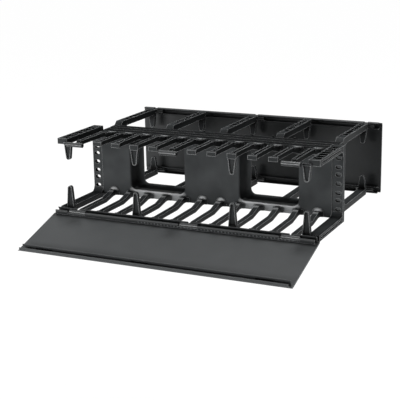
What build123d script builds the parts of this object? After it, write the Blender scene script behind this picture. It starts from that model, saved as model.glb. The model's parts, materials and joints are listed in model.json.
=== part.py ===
"""Horizontal cable manager, three rack units high: a mounting base with two pass-through windows,
cable fingers in front, cable arms behind, and a hinged cover over each side.

Frame: X to the right seen from the front, Y to the back, Z up, in millimetres. The origin is the
middle of the rack slots, on the rear face of the flanges, which sits on the rack rails.
A depth is a distance inward from the panel's top or bottom edge, so that both rows share one set.
"""
import math
import os

from build123d import *

# Rack standard
RACK_UNIT = 44.45
UNITS = 3
PANEL_SLACK = 0.85
PANEL_WIDTH = 482.6
SLOT_EDGE = 8.74
SLOT_ROWS = (0.0, 15.875, 28.575, 44.45)
SLOT_WIDTH = 6.8
SLOT_LENGTH = 10.4

# Base
FLANGE_WIDTH = 19.3
FLANGE_THICK = 8.0
PANEL_PROUD = 1.0
BODY_DEPTH = 52.0
BODY_INSET = 6.5
BODY_RADIUS = 2.0
SKIN = 3.0
WALL = 2.5
END_MARGIN = 6.0
WINDOW_INSET = 20.0
WINDOW_RADIUS = 10.0
WINDOW_LIP_RADIUS = 3.5
SOCKET_LENGTH = 16.0
DECK_RIBS = (14.0, 31.0)
DECK_RIB_WIDTH = 2.0
DECK_RIB_HEIGHT = 1.0
PEG_RADIUS = 1.6
PEG_HEIGHT = 3.0
PEG_MARGIN = 3.0

# Stations along the base, in steps of the finger grid from the middle
FINGER_COUNT = 12
WINDOWS = (-3.0, 3.0)
WINDOW_STEPS = 3.0
RIBS = (-5.25, 5.25)
PEGS = (-1.0, 1.6, 2.7, 3.8)
TOOTH_FINGERS = (-2.5, 2.5)
ARMS = (-6.0, -3.0, 0.0, 3.0, 6.0)
FRONT_BOTTOM_PINS = (-5.5, 0.5, 5.5)
FRONT_TOP_PINS = (-5.5, -0.5, 5.5)
REAR_PINS = (-6.0, 0.0, 6.0)

# Front fingers
FINGER_REACH = 115.0
FINGER_WIDTH = 9.0
FINGER_TIP_OUTER = 1.5
FINGER_TIP_INNER = 8.5
FINGER_ROOT_OUTER = 7.0
FINGER_ROOT_INNER = 17.0
FINGER_ROOT_LENGTH = 11.0
FINGER_BEND_LENGTH = 38.0
GROOVE_WIDTH = 4.4
GROOVE_DEPTH = 4.0
GROOVE_MARGIN = 8.0
FLARE_RADIUS = 10.5
FLARE_RIM = 1.0
TIP_BAR_TOP_WIDTH = 16.0
TIP_BAR_BOTTOM_WIDTH = 13.0
TIP_BAR_THICK = 3.5
BEND_BAR_WIDTH = 13.0
BEND_BAR_LENGTH = 5.0
BEND_BAR_DEPTH = 3.0
BEND_BAR_PLACE = 32.5
END_FINGER_DEPTH = 10.0
END_FINGER_ARCH = 9.0
END_FINGER_WALL = 2.5
END_POCKETS = 7
END_POCKET_PITCH = 14.0
END_GROOVE_HEIGHT = 3.0
END_GROOVE_DEPTH = 1.2

# Ladder of pockets in the outer face of an end finger or an arm
POCKET_LENGTH = 11.0
POCKET_FLOOR = 2.0

# Teeth that keep the cables in
TOOTH_BASE_WIDTH = 15.0
TOOTH_TIP_WIDTH = 8.5
TOOTH_THICK = 6.0
TOOTH_POCKET = 2.0
TOOTH_RIM = 1.6
END_TOOTH_INSET = 2.25
END_TOOTH_PROUD = 2.5
FRONT_BOTTOM_TOOTH = 49.0
FRONT_TOP_TOOTH = 36.5
REAR_TOOTH = 36.0

# Rear arms
ARM_REACH = 141.0
ARM_WIDTH = 14.0
ARM_DEPTH = 10.5
ARM_WALL = 2.0
ARM_RISE = 7.0
ARM_GUSSET = 24.0
ARM_POCKETS = 7
ARM_POCKET_PITCH = 14.5

# Hinge pins and the tongues that hold them
PIN_RADIUS = 3.9
PIN_BORE_RADIUS = 2.2
PIN_LENGTH = 32.0
PIN_INSET = 6.2
PIN_AHEAD = 14.0
TONGUE_WIDTH = 6.6
TONGUE_HEIGHT = 4.6
TONGUE_SEAT = 0.02
TONGUE_SIDE_GAP = 0.4

# Covers
COVER_OVERHANG = 3.7
COVER_SKIN = 2.5
RIM_RADIUS = 6.6
RIM_WALL = 1.5
RIM_LIP_RADIUS = 0.6
RIM_END = 5.0
HINGE_RIM_MOUTH = 45.0
LATCH_RIM_MOUTH = 60.0
NOTCH_MARGIN = 1.5
TONGUE_SLOT_FLOOR = 1.7
FRONT_OPEN_ANGLE = 106.6

# Clips inside the covers' rims that hold the pins
CLIP_LENGTH = 31.0
CLIP_SEAT_GAP = 0.1
HINGE_CLIP_GAP = 0.06
LATCH_CLIP_GAP = 0.35
CLIP_TONGUE_GAP = 0.1
HINGE_MOUTH_OUTER = 50.0
HINGE_MOUTH_INNER = 80.0

# Places that follow from the sizes above
PANEL_HEIGHT = UNITS * RACK_UNIT - PANEL_SLACK
SLOT_COLUMNS = PANEL_WIDTH - 2 * SLOT_EDGE
BODY_WIDTH = PANEL_WIDTH - 2 * FLANGE_WIDTH
GRID = (BODY_WIDTH - 2 * END_MARGIN) / FINGER_COUNT
WINDOW_WIDTH = WINDOW_STEPS * GRID
FACE_Y = -FLANGE_THICK - PANEL_PROUD
BODY_REAR_Y = FACE_Y + BODY_DEPTH
FINGER_TIP_Y = FACE_Y - FINGER_REACH
ARM_TIP_Y = BODY_REAR_Y + ARM_REACH
FRONT_PIN_Y = FINGER_TIP_Y - PIN_AHEAD
REAR_PIN_Y = ARM_TIP_Y + PIN_AHEAD
PIN_SPAN = PANEL_HEIGHT - 2 * PIN_INSET
COVER_WIDTH = PANEL_WIDTH + 2 * COVER_OVERHANG
COVER_INNER = COVER_SKIN - RIM_RADIUS
RIM_BORE = RIM_RADIUS - RIM_WALL
CLIP_RADIUS = RIM_BORE - CLIP_SEAT_GAP
TOP = 1
BOTTOM = -1
FRONT = 1
REAR = -1
REAR_TURN = 180.0


def level(row, depth):
    """Height of a point that lies a depth inward from the row's outer edge."""
    return row * (PANEL_HEIGHT / 2 - depth)


def side_plane(x, y=0, z=0):
    """Plane across X: a sketch on it is drawn along the part's Y and Z from the given point."""
    return Plane(origin=(x, y, z), x_dir=(0, 1, 0), z_dir=(1, 0, 0))


def front_plane(y):
    """Plane across Y that faces the front: a sketch on it is drawn in the part's X and Z."""
    return Plane(origin=(0, y, 0), x_dir=(1, 0, 0), z_dir=(0, -1, 0))


def row_points(row, points):
    """Side outline points given as (y, depth), turned into (y, z)."""
    return [(y, level(row, depth)) for y, depth in points]


def write(builder, name):
    """Label a finished piece and write its file."""
    builder.part.label = name
    export_step(builder.part, f"parts/{name}.step")


def add_tongue(x, pin_y, row, side):
    """Add the tongue that holds a hinge pin in a round seat ahead of a finger's or arm's tip."""
    pin_z = level(row, PIN_INSET)
    with BuildSketch(side_plane(x)) as outline:
        with Locations((pin_y + side * PIN_AHEAD / 2, pin_z)):
            Rectangle(PIN_AHEAD, TONGUE_HEIGHT)
        with Locations((pin_y, pin_z)):
            Circle(PIN_RADIUS + TONGUE_SEAT, mode=Mode.SUBTRACT)
    extrude(outline.sketch, amount=TONGUE_WIDTH / 2, both=True)


def tooth_outline(x, row, base_width, tip_width, base_depth, depth):
    """Draw a tooth in the sketch at hand: it tapers inward from its base to a round end."""
    end_radius = tip_width / 2
    base_z = level(row, base_depth)
    end_z = level(row, depth - end_radius)
    Polygon(
        (x - base_width / 2, base_z), (x + base_width / 2, base_z),
        (x + end_radius, end_z), (x - end_radius, end_z), align=None,
    )
    with Locations((x, end_z)):
        Circle(end_radius)


def add_tooth(x, face_y, row, depth, side):
    """Add a tooth whose outer face is a pocket with a raised rim."""
    with BuildSketch(front_plane(face_y)) as outline:
        tooth_outline(x, row, TOOTH_BASE_WIDTH, TOOTH_TIP_WIDTH, PIN_INSET, depth)
    extrude(outline.sketch, amount=-side * TOOTH_THICK)
    with BuildSketch(front_plane(face_y)) as pocket:
        tooth_outline(x, row, TOOTH_BASE_WIDTH - 2 * TOOTH_RIM, TOOTH_TIP_WIDTH - 2 * TOOTH_RIM,
                      FINGER_TIP_INNER + TOOTH_RIM, depth - TOOTH_RIM)
    extrude(pocket.sketch, amount=-side * TOOTH_POCKET, mode=Mode.SUBTRACT)


def cut_ladder(x, centre_y, row, width, depth, count, pitch):
    """Cut a ladder of pockets, each as deep as the member less a floor, in its outer face."""
    with BuildSketch(Plane.XY.offset(level(row, 0))) as ladder:
        with Locations((x, centre_y)):
            with GridLocations(width, pitch, 1, count):
                Rectangle(width, POCKET_LENGTH)
    extrude(ladder.sketch, amount=-row * (depth - POCKET_FLOOR), mode=Mode.SUBTRACT)


def regular_finger(step, row):
    """A finger with a grooved outer face: straight at its tip, bent inward at its flared root."""
    x = step * GRID
    bend_y = FACE_Y - FINGER_BEND_LENGTH
    root_y = FACE_Y - FINGER_ROOT_LENGTH
    root_centre = (FINGER_ROOT_OUTER + FINGER_ROOT_INNER) / 2
    flare = FLARE_RADIUS - FINGER_WIDTH / 2
    flare_y = FACE_Y - FLARE_RIM - flare
    pins = FRONT_TOP_PINS if row == TOP else FRONT_BOTTOM_PINS
    tip_bar_width = TIP_BAR_TOP_WIDTH if row == TOP else TIP_BAR_BOTTOM_WIDTH
    inner_side = Keep.TOP if row == BOTTOM else Keep.BOTTOM
    outer_side = Keep.BOTTOM if row == BOTTOM else Keep.TOP
    with BuildPart() as finger:
        with BuildSketch(Plane.XY.offset(level(row, root_centre))):
            with BuildLine():
                Line((x, flare_y), (x, FACE_Y))
                Line((x, FACE_Y), (x + FLARE_RADIUS, FACE_Y))
                Line((x + FLARE_RADIUS, FACE_Y), (x + FLARE_RADIUS, FACE_Y - FLARE_RIM))
                CenterArc((x + FLARE_RADIUS, flare_y), flare, 90, 90)
                Line((x + FLARE_RADIUS - flare, flare_y), (x, flare_y))
            make_face()
        revolve(axis=Axis((x, 0, level(row, root_centre)), (0, 1, 0)))
        split(bisect_by=Plane.XY.offset(level(row, BODY_INSET)), keep=inner_side)
        if min(abs(step - window) for window in WINDOWS) <= WINDOW_STEPS / 2:
            split(bisect_by=Plane.XY.offset(level(row, WINDOW_INSET - WINDOW_LIP_RADIUS)), keep=outer_side)
        with BuildSketch(side_plane(x)):
            Polygon(*row_points(row, [
                (FINGER_TIP_Y, FINGER_TIP_OUTER),
                (bend_y, FINGER_TIP_OUTER),
                (root_y, FINGER_ROOT_OUTER),
                (FACE_Y, FINGER_ROOT_OUTER),
                (FACE_Y, FINGER_ROOT_INNER),
                (root_y, FINGER_ROOT_INNER),
                (bend_y, FINGER_TIP_INNER + 1),
                (FINGER_TIP_Y, FINGER_TIP_INNER),
            ]), align=None)
        extrude(amount=FINGER_WIDTH / 2, both=True)
        with BuildSketch(Plane.XY.offset(level(row, FINGER_TIP_OUTER))):
            with Locations((x, (FINGER_TIP_Y + GROOVE_MARGIN + bend_y) / 2)):
                Rectangle(GROOVE_WIDTH, bend_y - FINGER_TIP_Y - GROOVE_MARGIN)
        extrude(amount=-row * GROOVE_DEPTH, mode=Mode.SUBTRACT)
        if row == TOP:
            with BuildSketch(Plane.XY.offset(level(row, FINGER_TIP_OUTER))):
                with Locations((x, FACE_Y - BEND_BAR_PLACE)):
                    Rectangle(BEND_BAR_WIDTH, BEND_BAR_LENGTH)
            extrude(amount=-row * BEND_BAR_DEPTH)
        if step in pins:
            add_tongue(x, FRONT_PIN_Y, row, FRONT)
        else:
            with BuildSketch(Plane.XY.offset(level(row, FINGER_TIP_OUTER))):
                with Locations((x, FINGER_TIP_Y + TIP_BAR_THICK / 2)):
                    Rectangle(tip_bar_width, TIP_BAR_THICK)
            extrude(amount=-row * (FINGER_TIP_INNER - FINGER_TIP_OUTER))
        if step in TOOTH_FINGERS:
            add_tooth(x, FINGER_TIP_Y, row, FRONT_TOP_TOOTH if row == TOP else FRONT_BOTTOM_TOOTH, FRONT)
    return finger


def end_finger(end, row):
    """The wide finger at one end of a row: a ladder of pockets, a grooved side and an arched root."""
    centre_x = end * (PANEL_WIDTH - FLANGE_WIDTH) / 2
    tooth_x = end * (BODY_WIDTH / 2 - END_TOOTH_INSET)
    root_y = -FLANGE_THICK - FLARE_RIM
    arch_y = root_y - END_FINGER_ARCH
    arch_depth = END_FINGER_DEPTH + END_FINGER_ARCH
    channel_start = FINGER_TIP_Y + TOOTH_THICK
    channel_y = (channel_start + arch_y) / 2
    channel_length = arch_y - channel_start
    with BuildPart() as finger:
        with BuildSketch(side_plane(centre_x)):
            with BuildLine():
                Polyline(*row_points(row, [
                    (arch_y, END_FINGER_DEPTH),
                    (FINGER_TIP_Y, END_FINGER_DEPTH),
                    (FINGER_TIP_Y, 0),
                    (-FLANGE_THICK, 0),
                    (-FLANGE_THICK, arch_depth),
                    (root_y, arch_depth),
                ]))
                CenterArc((arch_y, level(row, arch_depth)), END_FINGER_ARCH, 0, row * 90)
            make_face()
        extrude(amount=FLANGE_WIDTH / 2, both=True)
        cut_ladder(centre_x, channel_y, row, FLANGE_WIDTH - 2 * END_FINGER_WALL,
                   END_FINGER_DEPTH, END_POCKETS, END_POCKET_PITCH)
        with BuildSketch(side_plane(end * PANEL_WIDTH / 2)):
            with Locations((channel_y, level(row, END_FINGER_DEPTH / 2))):
                Rectangle(channel_length, END_GROOVE_HEIGHT)
        extrude(amount=-end * END_GROOVE_DEPTH, mode=Mode.SUBTRACT)
        add_tooth(tooth_x, FINGER_TIP_Y - END_TOOTH_PROUD, row,
                  FRONT_TOP_TOOTH if row == TOP else FRONT_BOTTOM_TOOTH, FRONT)
    return finger


def rear_arm(step, row):
    """An arm behind the base: a ladder of pockets, a gusset at its root and a tooth at its end."""
    x = step * GRID
    gusset_y = BODY_REAR_Y + ARM_GUSSET
    channel_y = (gusset_y + ARM_TIP_Y - TOOTH_THICK) / 2
    with BuildPart() as arm:
        with BuildSketch(side_plane(x)):
            Polygon(*row_points(row, [
                (BODY_REAR_Y, BODY_INSET),
                (BODY_REAR_Y + ARM_RISE, 0),
                (ARM_TIP_Y, 0),
                (ARM_TIP_Y, ARM_DEPTH),
                (gusset_y, ARM_DEPTH),
                (BODY_REAR_Y, WINDOW_INSET),
            ]), align=None)
        extrude(amount=ARM_WIDTH / 2, both=True)
        cut_ladder(x, channel_y, row, ARM_WIDTH - 2 * ARM_WALL, ARM_DEPTH, ARM_POCKETS, ARM_POCKET_PITCH)
        add_tooth(x, ARM_TIP_Y, row, REAR_TOOTH, REAR)
        if step in REAR_PINS:
            add_tongue(x, REAR_PIN_Y, row, REAR)
    return arm


def hinge_pins(steps, pin_y, row):
    """The tubular pins of one row, each held at its middle by a finger's or arm's tongue."""
    with BuildPart() as pins:
        for step in steps:
            with BuildSketch(side_plane(step * GRID, pin_y, level(row, PIN_INSET))):
                Circle(PIN_RADIUS)
                Circle(PIN_BORE_RADIUS, mode=Mode.SUBTRACT)
            extrude(amount=PIN_LENGTH / 2, both=True)
    return pins


def cover_plane(x, pin_y, row, turn):
    """Plane across X on a cover's hinge axis: its X points inward and its Y along the closed cover."""
    angle = math.radians(turn)
    return Plane(
        origin=(x, pin_y, level(row, PIN_INSET)),
        x_dir=(0, math.cos(angle), math.sin(angle)),
        z_dir=(1, 0, 0),
    )


def cover(pin_y, row, turn, hinge_steps):
    """A cover panel with a slotted tubular rim along both long edges, cut back where the pins turn."""
    with BuildPart() as panel:
        with BuildSketch(cover_plane(-COVER_WIDTH / 2, pin_y, row, turn)):
            with Locations((0, 0), (0, PIN_SPAN)):
                Circle(RIM_RADIUS)
            with Locations((COVER_INNER, PIN_SPAN / 2)):
                Rectangle(2 * COVER_SKIN, PIN_SPAN)
            with Locations(((COVER_INNER + RIM_RADIUS) / 2, PIN_SPAN / 2)):
                Rectangle(RIM_RADIUS - COVER_INNER, PIN_SPAN + 2 * RIM_RADIUS, mode=Mode.SUBTRACT)
        extrude(amount=COVER_WIDTH)
        with BuildSketch(cover_plane(-COVER_WIDTH / 2 + RIM_END, pin_y, row, turn)) as rims:
            for centre, mouth in ((0, HINGE_RIM_MOUTH), (PIN_SPAN, LATCH_RIM_MOUTH)):
                reach = RIM_RADIUS * math.tan(math.radians(mouth))
                with Locations((0, centre)):
                    Circle(RIM_RADIUS)
                    Circle(RIM_BORE, mode=Mode.SUBTRACT)
                    Polygon(
                        (0, 0), (RIM_RADIUS, -reach), (RIM_RADIUS, reach), align=None, mode=Mode.SUBTRACT
                    )
            fillet([corner for corner in rims.vertices() if corner.X > 0], RIM_LIP_RADIUS)
        extrude(amount=COVER_WIDTH - 2 * RIM_END)
        with BuildSketch(cover_plane(-COVER_WIDTH / 2, pin_y, row, turn)):
            with Locations((0, 0), (0, PIN_SPAN)):
                Circle(RIM_BORE)
        extrude(amount=COVER_WIDTH, mode=Mode.SUBTRACT)
        slot_floor = TONGUE_SLOT_FLOOR - RIM_RADIUS
        for step in hinge_steps:
            with BuildSketch(cover_plane(step * GRID, pin_y, row, turn)):
                with Locations((RIM_RADIUS / 2, RIM_RADIUS / 2)):
                    Rectangle(RIM_RADIUS, RIM_RADIUS)
            extrude(amount=PIN_LENGTH / 2 + NOTCH_MARGIN, both=True, mode=Mode.SUBTRACT)
            with BuildSketch(cover_plane(step * GRID, pin_y, row, turn)):
                with Locations(((RIM_RADIUS + slot_floor) / 2, -RIM_RADIUS / 2)):
                    Rectangle(RIM_RADIUS - slot_floor, RIM_RADIUS)
            extrude(amount=TONGUE_WIDTH / 2 + TONGUE_SIDE_GAP, both=True, mode=Mode.SUBTRACT)
    return panel


def clip_plane(step, pin_y, row, turn, centre):
    """Plane across X on the axis of a clip, a given distance along the cover from its hinge."""
    base = cover_plane(step * GRID, pin_y, row, turn)
    return Plane(origin=base.from_local_coords((0, centre, 0)), x_dir=base.x_dir, z_dir=base.z_dir)


def hinge_clip(step, pin_y, row, turn):
    """A ring that snaps over a hinge pin, with a gap on its outer side where the tongue swings."""
    plane = clip_plane(step, pin_y, row, turn, 0)
    mouth_outer = CLIP_RADIUS * math.tan(math.radians(HINGE_MOUTH_OUTER))
    mouth_inner = CLIP_RADIUS * math.tan(math.radians(HINGE_MOUTH_INNER))
    gap_floor = PIN_RADIUS + CLIP_TONGUE_GAP
    with BuildPart() as piece:
        with BuildSketch(plane):
            Circle(CLIP_RADIUS)
            Circle(PIN_RADIUS + HINGE_CLIP_GAP, mode=Mode.SUBTRACT)
            Polygon(
                (0, 0), (CLIP_RADIUS, -mouth_outer), (CLIP_RADIUS, mouth_inner),
                align=None, mode=Mode.SUBTRACT,
            )
        extrude(amount=CLIP_LENGTH / 2, both=True)
        with BuildSketch(plane):
            with Locations(((CLIP_RADIUS - gap_floor) / 2, -CLIP_RADIUS / 2)):
                Rectangle(CLIP_RADIUS + gap_floor, CLIP_RADIUS)
        extrude(amount=TONGUE_WIDTH / 2 + TONGUE_SIDE_GAP, both=True, mode=Mode.SUBTRACT)
    return piece


def latch_clip(step, pin_y, row, turn):
    """A half-round cradle in a cover's free edge, which a pin enters when the cover closes."""
    with BuildPart() as piece:
        with BuildSketch(clip_plane(step, pin_y, row, turn, PIN_SPAN)):
            Circle(CLIP_RADIUS)
            Circle(PIN_RADIUS + LATCH_CLIP_GAP, mode=Mode.SUBTRACT)
            with Locations((CLIP_RADIUS / 2, 0)):
                Rectangle(CLIP_RADIUS, 2 * CLIP_RADIUS, mode=Mode.SUBTRACT)
        extrude(amount=CLIP_LENGTH / 2, both=True)
    return piece


def base_plate():
    """The base: a hollow body with two window tunnels, arm sockets and two slotted flanges."""
    body_height = PANEL_HEIGHT - 2 * BODY_INSET
    window_height = PANEL_HEIGHT - 2 * WINDOW_INSET
    with BuildPart() as base:
        with BuildSketch(front_plane(FACE_Y)):
            RectangleRounded(BODY_WIDTH, body_height, BODY_RADIUS)
        extrude(amount=-BODY_DEPTH)
        with BuildSketch(front_plane(BODY_REAR_Y)):
            RectangleRounded(BODY_WIDTH - 2 * WALL, body_height - 2 * WALL, BODY_RADIUS)
            with Locations([(window * GRID, 0) for window in WINDOWS]):
                RectangleRounded(WINDOW_WIDTH + 2 * WALL, window_height + 2 * WALL, WINDOW_RADIUS + WALL,
                                 mode=Mode.SUBTRACT)
            with Locations([(rib * GRID, 0) for rib in RIBS]):
                Rectangle(WALL, body_height, mode=Mode.SUBTRACT)
        extrude(amount=BODY_DEPTH - SKIN, mode=Mode.SUBTRACT)
        with BuildSketch(front_plane(BODY_REAR_Y)):
            for x in [step * GRID for step in ARMS]:
                reach = min(ARM_WIDTH / 2, BODY_WIDTH / 2 - abs(x))
                for row in (TOP, BOTTOM):
                    depth = (BODY_INSET + WINDOW_INSET) / 2
                    with Locations((x - math.copysign(ARM_WIDTH / 2 - reach, x) / 2, level(row, depth))):
                        Rectangle(ARM_WIDTH / 2 + reach, WINDOW_INSET - BODY_INSET)
        extrude(amount=SOCKET_LENGTH)
        with BuildSketch(front_plane(FACE_Y)):
            with Locations([(window * GRID, 0) for window in WINDOWS]):
                RectangleRounded(WINDOW_WIDTH, window_height, WINDOW_RADIUS)
        extrude(amount=-BODY_DEPTH, mode=Mode.SUBTRACT)
        face = base.faces().sort_by(Axis.Y)[0]
        fillet([edge for wire in face.inner_wires() for edge in wire.edges()], WINDOW_LIP_RADIUS)
        with BuildSketch(front_plane(0)):
            for end in (-1, 1):
                with Locations((end * (PANEL_WIDTH - FLANGE_WIDTH) / 2, 0)):
                    Rectangle(FLANGE_WIDTH, PANEL_HEIGHT)
                with Locations([(end * SLOT_COLUMNS / 2, sign * z) for z in SLOT_ROWS for sign in (-1, 1)]):
                    SlotOverall(SLOT_LENGTH, SLOT_WIDTH, mode=Mode.SUBTRACT)
        extrude(amount=FLANGE_THICK)
        for row in (TOP, BOTTOM):
            with BuildSketch(Plane.XY.offset(level(row, BODY_INSET))):
                with Locations([(0, FACE_Y + distance) for distance in DECK_RIBS]):
                    Rectangle(BODY_WIDTH - 2 * END_MARGIN, DECK_RIB_WIDTH)
            extrude(amount=row * DECK_RIB_HEIGHT)
            with BuildSketch(Plane.XY.offset(level(row, BODY_INSET))):
                with Locations([(step * GRID, BODY_REAR_Y - PEG_MARGIN) for step in PEGS]):
                    Circle(PEG_RADIUS)
            extrude(amount=row * PEG_HEIGHT)
    return base


os.makedirs("parts", exist_ok=True)

write(base_plate(), "base_plate")

for row, row_name in ((TOP, "top"), (BOTTOM, "bottom")):
    write(end_finger(-1, row), f"finger_{row_name}_end_left")
    write(end_finger(1, row), f"finger_{row_name}_end_right")
    for index in range(FINGER_COUNT):
        finger_step = index - (FINGER_COUNT - 1) / 2
        write(regular_finger(finger_step, row), f"finger_{row_name}_{index + 1:02d}")
    for index, arm_step in enumerate(ARMS, start=1):
        write(rear_arm(arm_step, row), f"arm_{row_name}_{index}")

write(hinge_pins(FRONT_TOP_PINS, FRONT_PIN_Y, TOP), "pins_front_top")
write(hinge_pins(FRONT_BOTTOM_PINS, FRONT_PIN_Y, BOTTOM), "pins_front_bottom")
write(hinge_pins(REAR_PINS, REAR_PIN_Y, TOP), "pins_rear_top")
write(hinge_pins(REAR_PINS, REAR_PIN_Y, BOTTOM), "pins_rear_bottom")

COVERS = (
    ("front", FRONT_PIN_Y, BOTTOM, FRONT_OPEN_ANGLE, FRONT_BOTTOM_PINS, FRONT_TOP_PINS),
    ("rear", REAR_PIN_Y, TOP, REAR_TURN, REAR_PINS, REAR_PINS),
)
for side, axis_y, axis_row, turn, hinge_steps, latch_steps in COVERS:
    write(cover(axis_y, axis_row, turn, hinge_steps), f"cover_{side}")
    for index, clip_step in enumerate(hinge_steps, start=1):
        write(hinge_clip(clip_step, axis_y, axis_row, turn), f"clip_{side}_hinge_{index}")
    for index, clip_step in enumerate(latch_steps, start=1):
        write(latch_clip(clip_step, axis_y, axis_row, turn), f"clip_{side}_latch_{index}")
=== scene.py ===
"""Looks of the horizontal cable manager: its moulded and extruded plastics, the small marks on its
covers, and the stage with its lamps and camera. Sizes are in metres.
"""

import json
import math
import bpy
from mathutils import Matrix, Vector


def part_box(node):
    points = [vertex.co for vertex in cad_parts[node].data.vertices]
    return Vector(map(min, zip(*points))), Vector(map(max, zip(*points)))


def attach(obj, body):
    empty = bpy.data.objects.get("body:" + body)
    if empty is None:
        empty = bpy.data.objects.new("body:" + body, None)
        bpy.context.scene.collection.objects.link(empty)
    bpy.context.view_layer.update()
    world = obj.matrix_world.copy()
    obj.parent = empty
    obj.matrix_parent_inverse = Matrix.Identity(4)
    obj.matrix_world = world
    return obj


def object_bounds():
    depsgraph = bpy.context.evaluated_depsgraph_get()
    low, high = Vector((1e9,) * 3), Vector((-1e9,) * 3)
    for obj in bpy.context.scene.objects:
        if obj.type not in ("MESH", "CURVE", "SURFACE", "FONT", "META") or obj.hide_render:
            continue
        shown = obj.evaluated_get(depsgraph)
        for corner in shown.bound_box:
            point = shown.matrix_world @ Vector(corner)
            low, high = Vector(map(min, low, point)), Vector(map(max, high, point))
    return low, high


bl_info = {
    "name": "Horizontal Cable Manager",
    "version": (1, 0, 0),
    "blender": (4, 5, 0),
    "location": "3D View > Sidebar > Cable Manager",
    "description": "Finishes and stages a rack cable manager with hinged covers",
    "category": "Object",
}

import bpy
from bpy.props import FloatProperty, FloatVectorProperty, PointerProperty
from mathutils import Matrix, Vector

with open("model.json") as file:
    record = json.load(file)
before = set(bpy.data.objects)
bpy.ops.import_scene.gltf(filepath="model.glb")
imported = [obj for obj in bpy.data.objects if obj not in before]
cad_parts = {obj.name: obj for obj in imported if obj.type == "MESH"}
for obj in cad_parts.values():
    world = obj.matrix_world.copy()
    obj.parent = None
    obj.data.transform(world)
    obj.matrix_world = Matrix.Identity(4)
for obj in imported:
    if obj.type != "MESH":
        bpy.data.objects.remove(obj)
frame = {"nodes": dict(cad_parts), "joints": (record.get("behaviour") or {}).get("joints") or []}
CAD_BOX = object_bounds()

MM = 0.001
PANEL_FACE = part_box("base_plate")[0].y
DECK_HEIGHT = 70 * MM
FRONT_HINGE = next(j for j in frame["joints"] if j["name"] == "front_cover_hinge")
REAR_HINGE = next(j for j in frame["joints"] if j["name"] == "rear_cover_hinge")


# ---------------------------------------------------------------------------
# Colour, node and mesh helpers
# ---------------------------------------------------------------------------


def shade(code):
    """An sRGB hex colour as linear red, green and blue."""
    parts = [int(code[i : i + 2], 16) / 255 for i in (1, 3, 5)]
    return tuple(c / 12.92 if c <= 0.04045 else ((c + 0.055) / 1.055) ** 2.4 for c in parts)


def add_node(tree, kind, values=None, links=None, **settings):
    """Add one node with its settings, its socket values and the links into it."""
    node = tree.nodes.new(kind)
    for key, value in settings.items():
        setattr(node, key, value)
    for key, value in (values or {}).items():
        node.inputs[key].default_value = value
    for key, source in (links or {}).items():
        tree.links.new(source, node.inputs[key])
    return node


def new_material(name):
    """An empty node material and its tree."""
    material = bpy.data.materials.new(name)
    material.use_nodes = True
    material.node_tree.nodes.clear()
    return material, material.node_tree


def paint(colour):
    """A linear colour as a socket takes it."""
    return (*colour, 1)


def near(tree, value, centre, inner, outer, share=None):
    """Where a value lies within inner of the centre, 1 or the socket given as share; 0 from outer."""
    offset = add_node(tree, "ShaderNodeMath", {1: centre}, {0: value}, operation="SUBTRACT")
    away = add_node(tree, "ShaderNodeMath", links={0: offset.outputs[0]}, operation="ABSOLUTE")
    links = {"Value": away.outputs[0]}
    if share is not None:
        links["To Max"] = share
    return add_node(
        tree, "ShaderNodeMapRange", {"From Min": outer, "From Max": inner}, links, clamp=True,
    ).outputs["Result"]


def give_finish(nodes, material):
    """Give CAD nodes their finish."""
    for name in nodes:
        slots = frame["nodes"][name].data.materials
        slots.clear()
        slots.append(material)


# ---------------------------------------------------------------------------
# Sizes and colours that a user would change
# ---------------------------------------------------------------------------


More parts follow.
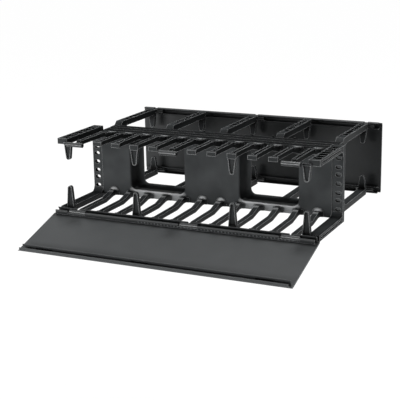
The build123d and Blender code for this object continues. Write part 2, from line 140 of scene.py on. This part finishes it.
class CableManagerFinish(bpy.types.PropertyGroup):
    moulded_dark: FloatVectorProperty(
        name="Moulded dark", description="Darker tone of the moulded plastic",
        subtype="COLOR", size=3, min=0, max=1, default=shade("#383A3B"))
    moulded_light: FloatVectorProperty(
        name="Moulded light", description="Lighter tone of the moulded plastic",
        subtype="COLOR", size=3, min=0, max=1, default=shade("#444647"))
    # Painted shade: the fingers, arms and clips are the base's plastic, given these darker tones.
    slim_shaded_dark: FloatVectorProperty(
        name="Slim dark", description="Darker tone of the fingers, arms and clips",
        subtype="COLOR", size=3, min=0, max=1, default=shade("#2C2E2F"))
    slim_shaded_light: FloatVectorProperty(
        name="Slim light", description="Lighter tone of the fingers, arms and clips",
        subtype="COLOR", size=3, min=0, max=1, default=shade("#363839"))
    cover_dark: FloatVectorProperty(
        name="Cover dark", description="Darker tone of the covers",
        subtype="COLOR", size=3, min=0, max=1, default=shade("#444647"))
    cover_light: FloatVectorProperty(
        name="Cover light", description="Lighter tone of the covers",
        subtype="COLOR", size=3, min=0, max=1, default=shade("#4E5051"))
    pin_colour: FloatVectorProperty(
        name="Pins", description="Colour of the polished hinge pins",
        subtype="COLOR", size=3, min=0, max=1, default=shade("#2C2E2F"))
    # Painted highlight: the moulded edges are lightened towards this tone.
    edge_highlight_colour: FloatVectorProperty(
        name="Pale edges", description="Tone of the moulded edges, which show paler than the faces",
        subtype="COLOR", size=3, min=0, max=1, default=shade("#B8BABB"))
    # Painted highlight: the lips and sills by the panel's face are lightened towards this tone, placed
    # by the sizes below.
    lip_highlight_colour: FloatVectorProperty(
        name="Pale lips", description="Tone of the pale lips and sills by the panel's face",
        subtype="COLOR", size=3, min=0, max=1, default=shade("#D2D4D5"))
    window_place: FloatProperty(
        name="Window place", description="Distance of each window's middle from the part's middle",
        unit="LENGTH", min=0, default=108 * MM)
    window_half: FloatProperty(
        name="Window half width", description="Half the length of a window's pale sill",
        unit="LENGTH", min=0, default=54 * MM)
    sill_place: FloatProperty(
        name="Sill place", description="Height of the middle of the pale sills",
        unit="LENGTH", default=-52.5 * MM)
    sill_half: FloatProperty(
        name="Sill half height", description="Half the height of the pale sills",
        unit="LENGTH", min=0, default=7.5 * MM)
    flange_place: FloatProperty(
        name="Flange place", description="Distance from the middle at which the side flanges begin",
        unit="LENGTH", min=0, default=220 * MM)
    # Painted shade and highlight: the band within this radius of each hinge is darkened on the front
    # cover and lightened on the rear cover and the pips.
    rail_radius: FloatProperty(
        name="Rail radius", description="Radius of the darker rail round the front hinge",
        unit="LENGTH", min=0, default=12.5 * MM)
    # Painted shade: these set how far from corners and from other pieces the painted shade reaches.
    recess: FloatProperty(
        name="Recess depth", description="How far from a corner the mouldings are darkened",
        unit="LENGTH", min=0.001, default=22 * MM)
    cover_recess: FloatProperty(
        name="Cover recess", description="How far from other pieces a cover is darkened",
        unit="LENGTH", min=0.001, default=240 * MM)
    edge_round: FloatProperty(
        name="Edge rounding", description="Radius that moulded edges show",
        unit="LENGTH", min=0, default=0.9 * MM)
    grain: FloatProperty(
        name="Grain", description="Width of one grain of the mould texture, as drawn",
        unit="LENGTH", min=0.0001, default=0.9 * MM)
    cloud: FloatProperty(
        name="Flow cloud", description="Width of the soft tone changes left by the melt",
        unit="LENGTH", min=0.001, default=45 * MM)


class CableManagerMarks(bpy.types.PropertyGroup):
    pip_pitch: FloatProperty(
        name="Pip pitch", description="Distance between the small pips along the front cover's rail",
        unit="LENGTH", min=0.001, default=6.2 * MM)
    pip_row: FloatProperty(
        name="Pip row", description="Length of the row of pips",
        unit="LENGTH", min=0.001, default=280 * MM)
    pip_start: FloatProperty(
        name="Pip start", description="Where along X the row begins",
        unit="LENGTH", default=-75 * MM)
    pip_radius: FloatProperty(
        name="Pip radius", description="Radius of one pip",
        unit="LENGTH", min=0.0001, default=1.3 * MM)
    pip_rise: FloatProperty(
        name="Pip rise", description="How far a pip stands above the rail",
        unit="LENGTH", min=0.0001, default=1.0 * MM)
    pip_seat: FloatProperty(
        name="Pip seat", description="Distance of the pips' bases from the hinge line",
        unit="LENGTH", min=0, default=6.5 * MM)
    pip_angle: FloatProperty(
        name="Pip angle", description="How far round the rail the row lies, from straight ahead",
        unit="ROTATION", default=math.radians(22))


class CableManagerStage(bpy.types.PropertyGroup):
    floor_drop: FloatProperty(
        name="Floor drop", description="Distance from the open cover's lowest edge to the floor",
        unit="LENGTH", min=0, default=0.25)
    floor_size: FloatProperty(
        name="Floor size", description="Side of the square floor",
        unit="LENGTH", min=1, default=30)
    key_power: FloatProperty(
        name="Key lamp", description="Power of the wide lamp at the front left",
        unit="POWER", min=0, default=67)
    top_power: FloatProperty(
        name="Top lamp", description="Power of the small lamp overhead, which draws the edges",
        unit="POWER", min=0, default=45)
    side_power: FloatProperty(
        name="Side lamp", description="Power of the low lamp at the right",
        unit="POWER", min=0, default=25)
    ambient: FloatProperty(
        name="Ambient", description="Strength of the even light from all round",
        min=0, default=0.05)


# ---------------------------------------------------------------------------
# Materials
# ---------------------------------------------------------------------------


def painted_edge_highlight_and_recess_shade(tree, finish, colour, edge_highlight_share, reach, closed, darkest_painted_shade):
    """Paint a highlight along a colour's edges and paint shade in its corners; give back it and the
    rounded normal.
    """
    edge = add_node(tree, "ShaderNodeBevel", {"Radius": finish.edge_round}, samples=8)
    flat = add_node(tree, "ShaderNodeNewGeometry").outputs["Normal"]
    # Painted highlight: where the rounded normal turns away from the flat one, the colour is mixed
    # towards the edge highlight tone.
    turn = add_node(
        tree, "ShaderNodeVectorMath", links={0: edge.outputs["Normal"], 1: flat},
        operation="DOT_PRODUCT")
    pale = add_node(
        tree, "ShaderNodeMapRange", {"From Min": 0.995, "From Max": 0.9, "To Max": edge_highlight_share},
        {"Value": turn.outputs["Value"]}, clamp=True)
    lit = add_node(
        tree, "ShaderNodeMix", {7: paint(finish.edge_highlight_colour)}, {0: pale.outputs["Result"], 6: colour},
        data_type="RGBA")
    # Painted shade: the colour is darkened where ambient occlusion finds other surfaces within reach.
    corner = add_node(tree, "ShaderNodeAmbientOcclusion", {"Distance": reach}, samples=8)
    open_share = add_node(
        tree, "ShaderNodeMapRange", {"From Min": closed, "From Max": 0.95, "To Min": darkest_painted_shade},
        {"Value": corner.outputs["AO"]}, clamp=True)
    dark = add_node(
        tree, "ShaderNodeMix", {0: 1.0}, {6: lit.outputs[2], 7: open_share.outputs["Result"]},
        data_type="RGBA", blend_type="MULTIPLY")
    return dark.outputs[2], edge.outputs["Normal"]


def moulded_abs(name, finish, dark, light, *, rough, gloss, edge_highlight_share, deck_shade_tone, side_shade_tone, closed,
                darkest_painted_shade, sill_highlight_share):
    """Injection-moulded ABS with a fine mould texture: charcoal, satin, softly clouded by the flow of
    the melt. Its level decks, side faces and recesses are darkened with painted shade, and its edges
    and the lips and sills by the panel's face are lightened with painted highlight, in tones matched
    to the real part's shading: the plastic is one colour."""
    material, tree = new_material(name)
    place = add_node(tree, "ShaderNodeTexCoord").outputs
    cloud = add_node(
        tree, "ShaderNodeTexNoise",
        {"Scale": 1 / finish.cloud, "Detail": 2, "Roughness": 0.45}, {"Vector": place["Object"]})
    tone = add_node(
        tree, "ShaderNodeMapRange", {"From Min": 0.35, "From Max": 0.65},
        {"Value": cloud.outputs["Fac"]}, clamp=True)
    colour = add_node(
        tree, "ShaderNodeMix", {6: paint(dark), 7: paint(light)}, {0: tone.outputs["Result"]},
        data_type="RGBA")
    spot = add_node(tree, "ShaderNodeSeparateXYZ", links={0: place["Object"]}).outputs
    facing = add_node(tree, "ShaderNodeSeparateXYZ", links={0: place["Normal"]}).outputs
    height, upright, sideways, aside = (
        add_node(tree, "ShaderNodeMath", links={0: socket}, operation="ABSOLUTE").outputs[0]
        for socket in (spot["Z"], facing["Z"], facing["X"], spot["X"]))
    level = near(tree, upright, 1, 0.03, 0.12)
    # Painted shade: level decks at the deck height and faces turned along X are darkened by these
    # factors.
    for share, factor in (
        (near(tree, height, DECK_HEIGHT, 15 * MM, 17 * MM, level), deck_shade_tone),
        (near(tree, sideways, 1, 0.1, 0.4), side_shade_tone),
    ):
        colour = add_node(
            tree, "ShaderNodeMix", {7: (factor, factor, factor, 1)}, {0: share, 6: colour.outputs[2]},
            data_type="RGBA", blend_type="MULTIPLY")
    if sill_highlight_share:
        at_face = near(tree, spot["Y"], PANEL_FACE, 12 * MM, 18 * MM)
        # Painted highlight on the lips, which face forward and up at 45 degrees, between the flanges,
        # and on the window sills.
        slope = add_node(
            tree, "ShaderNodeVectorMath", {1: (0, -math.sqrt(0.5), math.sqrt(0.5))},
            {0: place["Normal"]}, operation="DOT_PRODUCT")
        between = near(tree, aside, 0, finish.flange_place, finish.flange_place + 2 * MM, at_face)
        lip = near(tree, slope.outputs["Value"], 1, 0.03, 0.25, between)
        along = near(
            tree, aside, finish.window_place, finish.window_half, finish.window_half + 4 * MM, at_face)
        sill = near(
            tree, spot["Z"], finish.sill_place, finish.sill_half, finish.sill_half + 2 * MM, along)
        part = add_node(tree, "ShaderNodeMath", {1: sill_highlight_share}, {0: sill}, operation="MULTIPLY")
        both = add_node(
            tree, "ShaderNodeMath", links={0: lip, 1: part.outputs[0]}, operation="MAXIMUM")
        colour = add_node(
            tree, "ShaderNodeMix", {7: paint(finish.lip_highlight_colour)},
            {0: both.outputs[0], 6: colour.outputs[2]}, data_type="RGBA")
    shaded, rounded = painted_edge_highlight_and_recess_shade(
        tree, finish, colour.outputs[2], edge_highlight_share, finish.recess, closed, darkest_painted_shade)
    # The grain is drawn at about twice its real width, so that it shows at this distance.
    grain = add_node(
        tree, "ShaderNodeTexNoise",
        {"Scale": 1 / finish.grain, "Detail": 3, "Roughness": 0.6}, {"Vector": place["Object"]})
    satin = add_node(
        tree, "ShaderNodeMapRange", {"To Min": rough, "To Max": rough + 0.1},
        {"Value": grain.outputs["Fac"]}, clamp=True)
    matt = add_node(
        tree, "ShaderNodeMix", {3: 1.0}, {0: level, 2: satin.outputs["Result"]}, data_type="FLOAT")
    bump = add_node(
        tree, "ShaderNodeBump", {"Strength": 0.25, "Distance": 0.05 * MM},
        {"Height": grain.outputs["Fac"], "Normal": rounded})
    plastic = add_node(
        tree, "ShaderNodeBsdfPrincipled", {"IOR": 1.53, "Specular IOR Level": gloss},
        {"Base Color": shaded, "Roughness": matt.outputs[0], "Normal": bump.outputs["Normal"]})
    add_node(tree, "ShaderNodeOutputMaterial", links={"Surface": plastic.outputs["BSDF"]})
    return material


def extruded_pvc(name, finish, hinge, *, web_shade_tone, rail_shade_and_highlight):
    """Extruded rigid PVC: smoother and a little lighter than the mouldings, with faint draw lines
    along its length left by the die. Its web carries a painted shade factor, much darker on the rear
    cover; the rail round the hinge carries painted shade on the front cover and painted highlight on
    the rear cover and the pips; its edges carry painted highlight and its recesses painted shade. These
    tones were matched to the real part's shading."""
    material, tree = new_material(name)
    place = add_node(tree, "ShaderNodeTexCoord").outputs["Object"]
    cloud = add_node(
        tree, "ShaderNodeTexNoise",
        {"Scale": 1 / finish.cloud, "Detail": 2, "Roughness": 0.4}, {"Vector": place})
    dark, light = (
        paint([web_shade_tone * c for c in tone]) for tone in (finish.cover_dark, finish.cover_light))
    web = add_node(
        tree, "ShaderNodeMix", {6: dark, 7: light}, {0: cloud.outputs["Fac"]}, data_type="RGBA")
    # The distance from the hinge line, taken square to X.
    flat = add_node(
        tree, "ShaderNodeVectorMath", {1: (0, 1, 1)}, {0: place}, operation="MULTIPLY")
    across = add_node(
        tree, "ShaderNodeVectorMath", {1: (0, *hinge[1:])}, {0: flat.outputs[0]}, operation="DISTANCE")
    rail = near(tree, across.outputs["Value"], 0, finish.rail_radius, finish.rail_radius + 1.5 * MM)
    # The rail is darkened with painted shade on the front cover and lightened with painted highlight on
    # the rear cover and the pips.
    colour = add_node(
        tree, "ShaderNodeMix", {7: (rail_shade_and_highlight, rail_shade_and_highlight, rail_shade_and_highlight, 1)}, {0: rail, 6: web.outputs[2]},
        data_type="RGBA", blend_type="MULTIPLY")
    # Painted shade from occlusion reaches a quarter of a metre, so the cover behind the body is
    # darkened.
    shaded, rounded = painted_edge_highlight_and_recess_shade(
        tree, finish, colour.outputs[2], edge_highlight_share=0.4, reach=finish.cover_recess, closed=0.2,
        darkest_painted_shade=0.7)
    # Draw lines 1.5 mm apart that run on for a quarter of a metre.
    stretch = add_node(
        tree, "ShaderNodeMapping", {"Scale": (4, 1 / (1.5 * MM), 1 / (1.5 * MM))}, {"Vector": place})
    lines = add_node(
        tree, "ShaderNodeTexNoise", {"Scale": 1, "Detail": 2}, {"Vector": stretch.outputs["Vector"]})
    satin = add_node(
        tree, "ShaderNodeMapRange", {"To Min": 0.33, "To Max": 0.42},
        {"Value": lines.outputs["Fac"]}, clamp=True)
    bump = add_node(
        tree, "ShaderNodeBump", {"Strength": 0.12, "Distance": 0.03 * MM},
        {"Height": lines.outputs["Fac"], "Normal": rounded})
    plastic = add_node(
        tree, "ShaderNodeBsdfPrincipled", {"IOR": 1.53, "Specular IOR Level": 0.1},
        {"Base Color": shaded, "Roughness": satin.outputs["Result"], "Normal": bump.outputs["Normal"]})
    add_node(tree, "ShaderNodeOutputMaterial", links={"Surface": plastic.outputs["BSDF"]})
    return material


def polished_acetal(finish):
    """Turned acetal: dark and glossy, with fine turning rings along the pin."""
    material, tree = new_material("polished_acetal")
    place = add_node(tree, "ShaderNodeTexCoord").outputs["Object"]
    # Turning rings 0.6 mm apart.
    rings = add_node(
        tree, "ShaderNodeTexWave", {"Scale": 1 / (0.6 * MM) / 20, "Distortion": 1.5, "Detail": 2},
        {"Vector": place}, bands_direction="X")
    ringed = add_node(
        tree, "ShaderNodeMix",
        {6: paint(finish.pin_colour), 7: paint([1.05 * c for c in finish.pin_colour])},
        {0: rings.outputs["Fac"]}, data_type="RGBA")
    polish = add_node(
        tree, "ShaderNodeMapRange", {"To Min": 0.22, "To Max": 0.25},
        {"Value": rings.outputs["Fac"]}, clamp=True)
    edge = add_node(tree, "ShaderNodeBevel", {"Radius": finish.edge_round}, samples=4)
    plastic = add_node(
        tree, "ShaderNodeBsdfPrincipled", {"IOR": 1.48},
        {"Base Color": ringed.outputs[2], "Roughness": polish.outputs["Result"],
         "Normal": edge.outputs["Normal"]})
    add_node(tree, "ShaderNodeOutputMaterial", links={"Surface": plastic.outputs["BSDF"]})
    return material


# ---------------------------------------------------------------------------
# Operators: one for each group of like pieces, and one for the stage
# ---------------------------------------------------------------------------


def nodes_named(*starts):
    """CAD nodes whose names begin with any of the given words."""
    return [name for name in frame["nodes"] if name.startswith(starts)]


class CABLEMANAGER_OT_mouldings(bpy.types.Operator):
    """Finish the base, its fingers and arms, and the clips"""
    bl_idname = "cablemanager.mouldings"
    bl_label = "Finish mouldings"

    def execute(self, context):
        finish = context.scene.cable_manager_finish
        dark, light = finish.moulded_dark, finish.moulded_light
        slim_shaded_dark, slim_shaded_light = finish.slim_shaded_dark, finish.slim_shaded_light
        base = moulded_abs(
            "moulded_abs_etched", finish, dark, light, rough=0.5, gloss=0.02, edge_highlight_share=0.7,
            deck_shade_tone=0.25, side_shade_tone=1.0, closed=0.4, darkest_painted_shade=0.12, sill_highlight_share=0.5)
        fingers = moulded_abs(
            "moulded_abs_satin", finish, slim_shaded_dark, slim_shaded_light, rough=0.4, gloss=0.04, edge_highlight_share=1.0,
            deck_shade_tone=0.9, side_shade_tone=0.6, closed=0.5, darkest_painted_shade=0.1, sill_highlight_share=0.1)
        # The arms take the fingers' plastic; this copy paints deeper shade on their sides and in their
        # recesses, and no lip or sill highlight.
        arms = moulded_abs(
            "moulded_abs_satin_deeper_shade", finish, slim_shaded_dark, slim_shaded_light, rough=0.4, gloss=0.04, edge_highlight_share=1.0,
            deck_shade_tone=0.9, side_shade_tone=0.55, closed=0.75, darkest_painted_shade=0.03, sill_highlight_share=0)
        clips = moulded_abs(
            "moulded_abs_smooth", finish, slim_shaded_dark, slim_shaded_light, rough=0.45, gloss=0.05,
            edge_highlight_share=0.6, deck_shade_tone=0.7, side_shade_tone=1.0, closed=0.4, darkest_painted_shade=0.12, sill_highlight_share=0)
        give_finish(nodes_named("base_plate"), base)
        give_finish(nodes_named("finger"), fingers)
        give_finish(nodes_named("arm"), arms)
        give_finish(nodes_named("clip"), clips)
        return {"FINISHED"}


class CABLEMANAGER_OT_covers(bpy.types.Operator):
    """Finish both covers"""
    bl_idname = "cablemanager.covers"
    bl_label = "Finish covers"

    def execute(self, context):
        finish = context.scene.cable_manager_finish
        # Painted shade: the rear cover's web tone is about half the front's.
        for node, name, hinge, web_shade_tone, rail_shade_and_highlight in (
            ("cover_front", "extruded_pvc_front", FRONT_HINGE, 0.9, 0.62),
            ("cover_rear", "extruded_pvc_rear_shaded", REAR_HINGE, 0.52, 1.2),
        ):
            give_finish(
                [node],
                extruded_pvc(name, finish, hinge["pos_m"], web_shade_tone=web_shade_tone, rail_shade_and_highlight=rail_shade_and_highlight))
        return {"FINISHED"}


def pip_row_tree():
    """Geometry Nodes that set a row of low round pips along X on a curved face."""
    tree = bpy.data.node_groups.new("row_of_pips", "GeometryNodeTree")
    for name in ("Length", "Pitch", "Radius", "Rise"):
        socket = tree.interface.new_socket(name, in_out="INPUT", socket_type="NodeSocketFloat")
        socket.subtype = "DISTANCE"
    tree.interface.new_socket("Material", in_out="INPUT", socket_type="NodeSocketMaterial")
    tree.interface.new_socket("Geometry", in_out="OUTPUT", socket_type="NodeSocketGeometry")
    given = add_node(tree, "NodeGroupInput").outputs
    steps = add_node(
        tree, "ShaderNodeMath", links={0: given["Length"], 1: given["Pitch"]}, operation="DIVIDE")
    count = add_node(tree, "ShaderNodeMath", {1: 1}, {0: steps.outputs[0]}, operation="ADD")
    pitch = add_node(tree, "ShaderNodeCombineXYZ", links={"X": given["Pitch"]})
    row = add_node(
        tree, "GeometryNodeMeshLine", links={"Count": count.outputs[0], "Offset": pitch.outputs[0]},
        mode="OFFSET")
    dome = add_node(
        tree, "GeometryNodeMeshUVSphere", {"Segments": 12, "Rings": 8}, {"Radius": given["Radius"]})
    flat = add_node(
        tree, "ShaderNodeMath", links={0: given["Rise"], 1: given["Radius"]}, operation="DIVIDE")
    scale = add_node(tree, "ShaderNodeCombineXYZ", {"X": 1, "Z": 1}, {"Y": flat.outputs[0]})
    pips = add_node(
        tree, "GeometryNodeInstanceOnPoints",
        links={"Points": row.outputs[0], "Instance": dome.outputs[0], "Scale": scale.outputs[0]})
    real = add_node(tree, "GeometryNodeRealizeInstances", links={0: pips.outputs[0]})
    painted = add_node(
        tree, "GeometryNodeSetMaterial",
        links={"Geometry": real.outputs[0], "Material": given["Material"]})
    add_node(tree, "NodeGroupOutput", links={0: painted.outputs[0]})
    return tree


class CABLEMANAGER_OT_pips(bpy.types.Operator):
    """Set the row of moulded pips on the front cover's hinge rail"""
    bl_idname = "cablemanager.pips"
    bl_label = "Set pips"

    def execute(self, context):
        marks = context.scene.cable_manager_marks
        tree = pip_row_tree()
        # Painted highlight: the pips take a rail factor that makes them much lighter than the rail round
        # them.
        finish = extruded_pvc(
            "extruded_pvc_pips_highlit", context.scene.cable_manager_finish, FRONT_HINGE["pos_m"],
            web_shade_tone=1.0, rail_shade_and_highlight=1.9)
        values = {
            "Length": marks.pip_row, "Pitch": marks.pip_pitch, "Radius": marks.pip_radius,
            "Rise": marks.pip_rise, "Material": finish}
        maker = bpy.data.objects.new("pip_maker", bpy.data.meshes.new("pip_maker"))
        context.scene.collection.objects.link(maker)
        modifier = maker.modifiers.new("pips", "NODES")
        modifier.node_group = tree
        for item in tree.interface.items_tree:
            if item.in_out == "INPUT":
                modifier[item.identifier] = values[item.name]
        context.view_layer.update()
        mesh = bpy.data.meshes.new_from_object(maker.evaluated_get(context.evaluated_depsgraph_get()))
        bpy.data.objects.remove(maker)
        # The row lies on the rail tube, a little below its foremost line in the open pose.
        turn = Matrix.Rotation(marks.pip_angle, 4, "X")
        out = turn @ Vector((0, -marks.pip_seat, 0))
        start = Vector((marks.pip_start, *FRONT_HINGE["pos_m"][1:])) + out
        mesh.transform(Matrix.Translation(start) @ turn)
        pips = bpy.data.objects.new("cover_pips", mesh)
        context.scene.collection.objects.link(pips)
        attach(pips, "front_cover")
        return {"FINISHED"}


class CABLEMANAGER_OT_pins(bpy.types.Operator):
    """Finish the hinge pins"""
    bl_idname = "cablemanager.pins"
    bl_label = "Finish pins"

    def execute(self, context):
        give_finish(nodes_named("pins"), polished_acetal(context.scene.cable_manager_finish))
        return {"FINISHED"}


class CABLEMANAGER_OT_stage(bpy.types.Operator):
    """Set up the floor, the white surround, the lamps and the camera"""
    bl_idname = "cablemanager.stage"
    bl_label = "Set the stage"

    def execute(self, context):
        stage = context.scene.cable_manager_stage
        make_floor(stage)
        make_world(stage)
        for name, place, width, height, power in (
            ("key_lamp", (-1.2, -2.6, 0.1), 2.4, 0.5, stage.key_power),
            ("top_lamp", (-0.2, 0.25, 2.2), 0.4, 0.4, stage.top_power),
            ("side_lamp", (2.4, 0.3, 0.0), 0.5, 0.3, stage.side_power),
        ):
            make_lamp(name, place, width, height, power)
        make_camera()
        context.scene.view_settings.view_transform = "Standard"
        return {"FINISHED"}


def seen_or_reflected(tree):
    """1 for what the camera sees directly, in a reflection or through glass, and 0 for light."""
    ray = add_node(tree, "ShaderNodeLightPath").outputs
    direct = add_node(
        tree, "ShaderNodeMath", links={0: ray["Is Camera Ray"], 1: ray["Is Glossy Ray"]},
        operation="MAXIMUM")
    return add_node(
        tree, "ShaderNodeMath", links={0: direct.outputs[0], 1: ray["Is Transmission Ray"]},
        operation="MAXIMUM").outputs[0]


def make_floor(stage):
    """A pale floor below the part: white to the camera and in reflections, and it keeps the shadow."""
    half = stage.floor_size / 2
    z = CAD_BOX[0].z - stage.floor_drop
    mesh = bpy.data.meshes.new("floor")
    mesh.from_pydata(
        [(-half, -half, z), (half, -half, z), (half, half, z), (-half, half, z)], [], [(0, 1, 2, 3)])
    floor = bpy.data.objects.new("floor", mesh)
    bpy.context.scene.collection.objects.link(floor)
    material, tree = new_material("matt_white_floor")
    seen = seen_or_reflected(tree)
    share = add_node(tree, "ShaderNodeMath", {1: 0.9}, {0: seen}, operation="MULTIPLY")
    paint = add_node(
        tree, "ShaderNodeBsdfPrincipled", {"Base Color": (*shade("#F2F2F2"), 1), "Roughness": 0.9})
    white = add_node(tree, "ShaderNodeEmission", {"Color": (1, 1, 1, 1), "Strength": 1.09})
    both = add_node(
        tree, "ShaderNodeMixShader",
        links={0: share.outputs[0], 1: paint.outputs["BSDF"], 2: white.outputs["Emission"]})
    add_node(tree, "ShaderNodeOutputMaterial", links={"Surface": both.outputs["Shader"]})
    mesh.materials.append(material)


def make_world(stage):
    """Even light from all round, and plain white wherever the camera or a reflection sees past."""
    world = bpy.data.worlds.new("white_surround")
    bpy.context.scene.world = world
    world.use_nodes = True
    tree = world.node_tree
    tree.nodes.clear()
    seen = seen_or_reflected(tree)
    even = add_node(tree, "ShaderNodeBackground", {"Color": (1, 1, 1, 1), "Strength": stage.ambient})
    white = add_node(tree, "ShaderNodeBackground", {"Color": (1, 1, 1, 1), "Strength": 1})
    both = add_node(
        tree, "ShaderNodeMixShader",
        links={0: seen, 1: even.outputs["Background"], 2: white.outputs["Background"]})
    add_node(tree, "ShaderNodeOutputWorld", links={"Surface": both.outputs["Shader"]})


def make_lamp(name, place, width, height, power):
    """A soft lamp that looks at the part."""
    data = bpy.data.lights.new(name, "AREA")
    data.shape = "RECTANGLE"
    data.size, data.size_y = width, height
    data.energy = power
    lamp = bpy.data.objects.new(name, data)
    bpy.context.scene.collection.objects.link(lamp)
    lamp.location = place
    lamp.rotation_mode = "QUATERNION"
    lamp.rotation_quaternion = (-Vector(place)).to_track_quat("-Z", "Y")


def make_camera():
    """The camera close to the photograph's viewpoint, 26 degrees to the right and 15 above. Its place
    was fitted and then moved, by about 2 mm, to share the error between windows and flanges."""
    azimuth, elevation, roll = (math.radians(a) for a in (25.78, 15.21, -1.12))
    place = Vector((0.78245, -1.6775, 0.45086))
    ahead = Vector((
        -math.sin(azimuth) * math.cos(elevation),
        math.cos(azimuth) * math.cos(elevation),
        -math.sin(elevation),
    ))
    right = Vector((math.cos(azimuth), math.sin(azimuth), 0))
    up = right.cross(ahead)
    tilted_right = right * math.cos(roll) + up * math.sin(roll)
    tilted_up = up * math.cos(roll) - right * math.sin(roll)
    data = bpy.data.cameras.new("camera")
    data.lens = 97.17
    data.sensor_width = 36
    data.clip_start, data.clip_end = 0.05, 60
    camera = bpy.data.objects.new("camera", data)
    bpy.context.scene.collection.objects.link(camera)
    turn = Matrix((tilted_right, tilted_up, -ahead)).transposed().to_4x4()
    camera.matrix_world = Matrix.Translation(place) @ turn
    bpy.context.scene.camera = camera


# ---------------------------------------------------------------------------
# Panel and registration
# ---------------------------------------------------------------------------


class CABLEMANAGER_PT_sidebar(bpy.types.Panel):
    """Lists the cable manager's settings and steps"""
    bl_label = "Cable Manager"
    bl_idname = "CABLEMANAGER_PT_sidebar"
    bl_space_type = "VIEW_3D"
    bl_region_type = "UI"
    bl_category = "Cable Manager"

    def draw(self, context):
        layout = self.layout
        for group in (
            context.scene.cable_manager_finish,
            context.scene.cable_manager_marks,
            context.scene.cable_manager_stage,
        ):
            column = layout.column(align=True)
            for name in group.bl_rna.properties.keys():
                if name not in ("rna_type", "name"):
                    column.prop(group, name)
        for operator in OPERATORS:
            layout.operator(operator.bl_idname)


GROUPS = {
    "cable_manager_finish": CableManagerFinish,
    "cable_manager_marks": CableManagerMarks,
    "cable_manager_stage": CableManagerStage,
}
OPERATORS = (
    CABLEMANAGER_OT_mouldings,
    CABLEMANAGER_OT_covers,
    CABLEMANAGER_OT_pips,
    CABLEMANAGER_OT_pins,
    CABLEMANAGER_OT_stage,
)


def register():
    for group in GROUPS.values():
        bpy.utils.register_class(group)
    for name, group in GROUPS.items():
        setattr(bpy.types.Scene, name, PointerProperty(type=group))
    for operator in OPERATORS:
        bpy.utils.register_class(operator)
    bpy.utils.register_class(CABLEMANAGER_PT_sidebar)


def unregister():
    bpy.utils.unregister_class(CABLEMANAGER_PT_sidebar)
    for operator in reversed(OPERATORS):
        bpy.utils.unregister_class(operator)
    for name in GROUPS:
        delattr(bpy.types.Scene, name)
    for group in reversed(GROUPS.values()):
        bpy.utils.unregister_class(group)


def main():
    register()
    bpy.ops.cablemanager.mouldings()
    bpy.ops.cablemanager.covers()
    bpy.ops.cablemanager.pips()
    bpy.ops.cablemanager.pins()
    bpy.ops.cablemanager.stage()


if __name__ == "__main__":
    main()
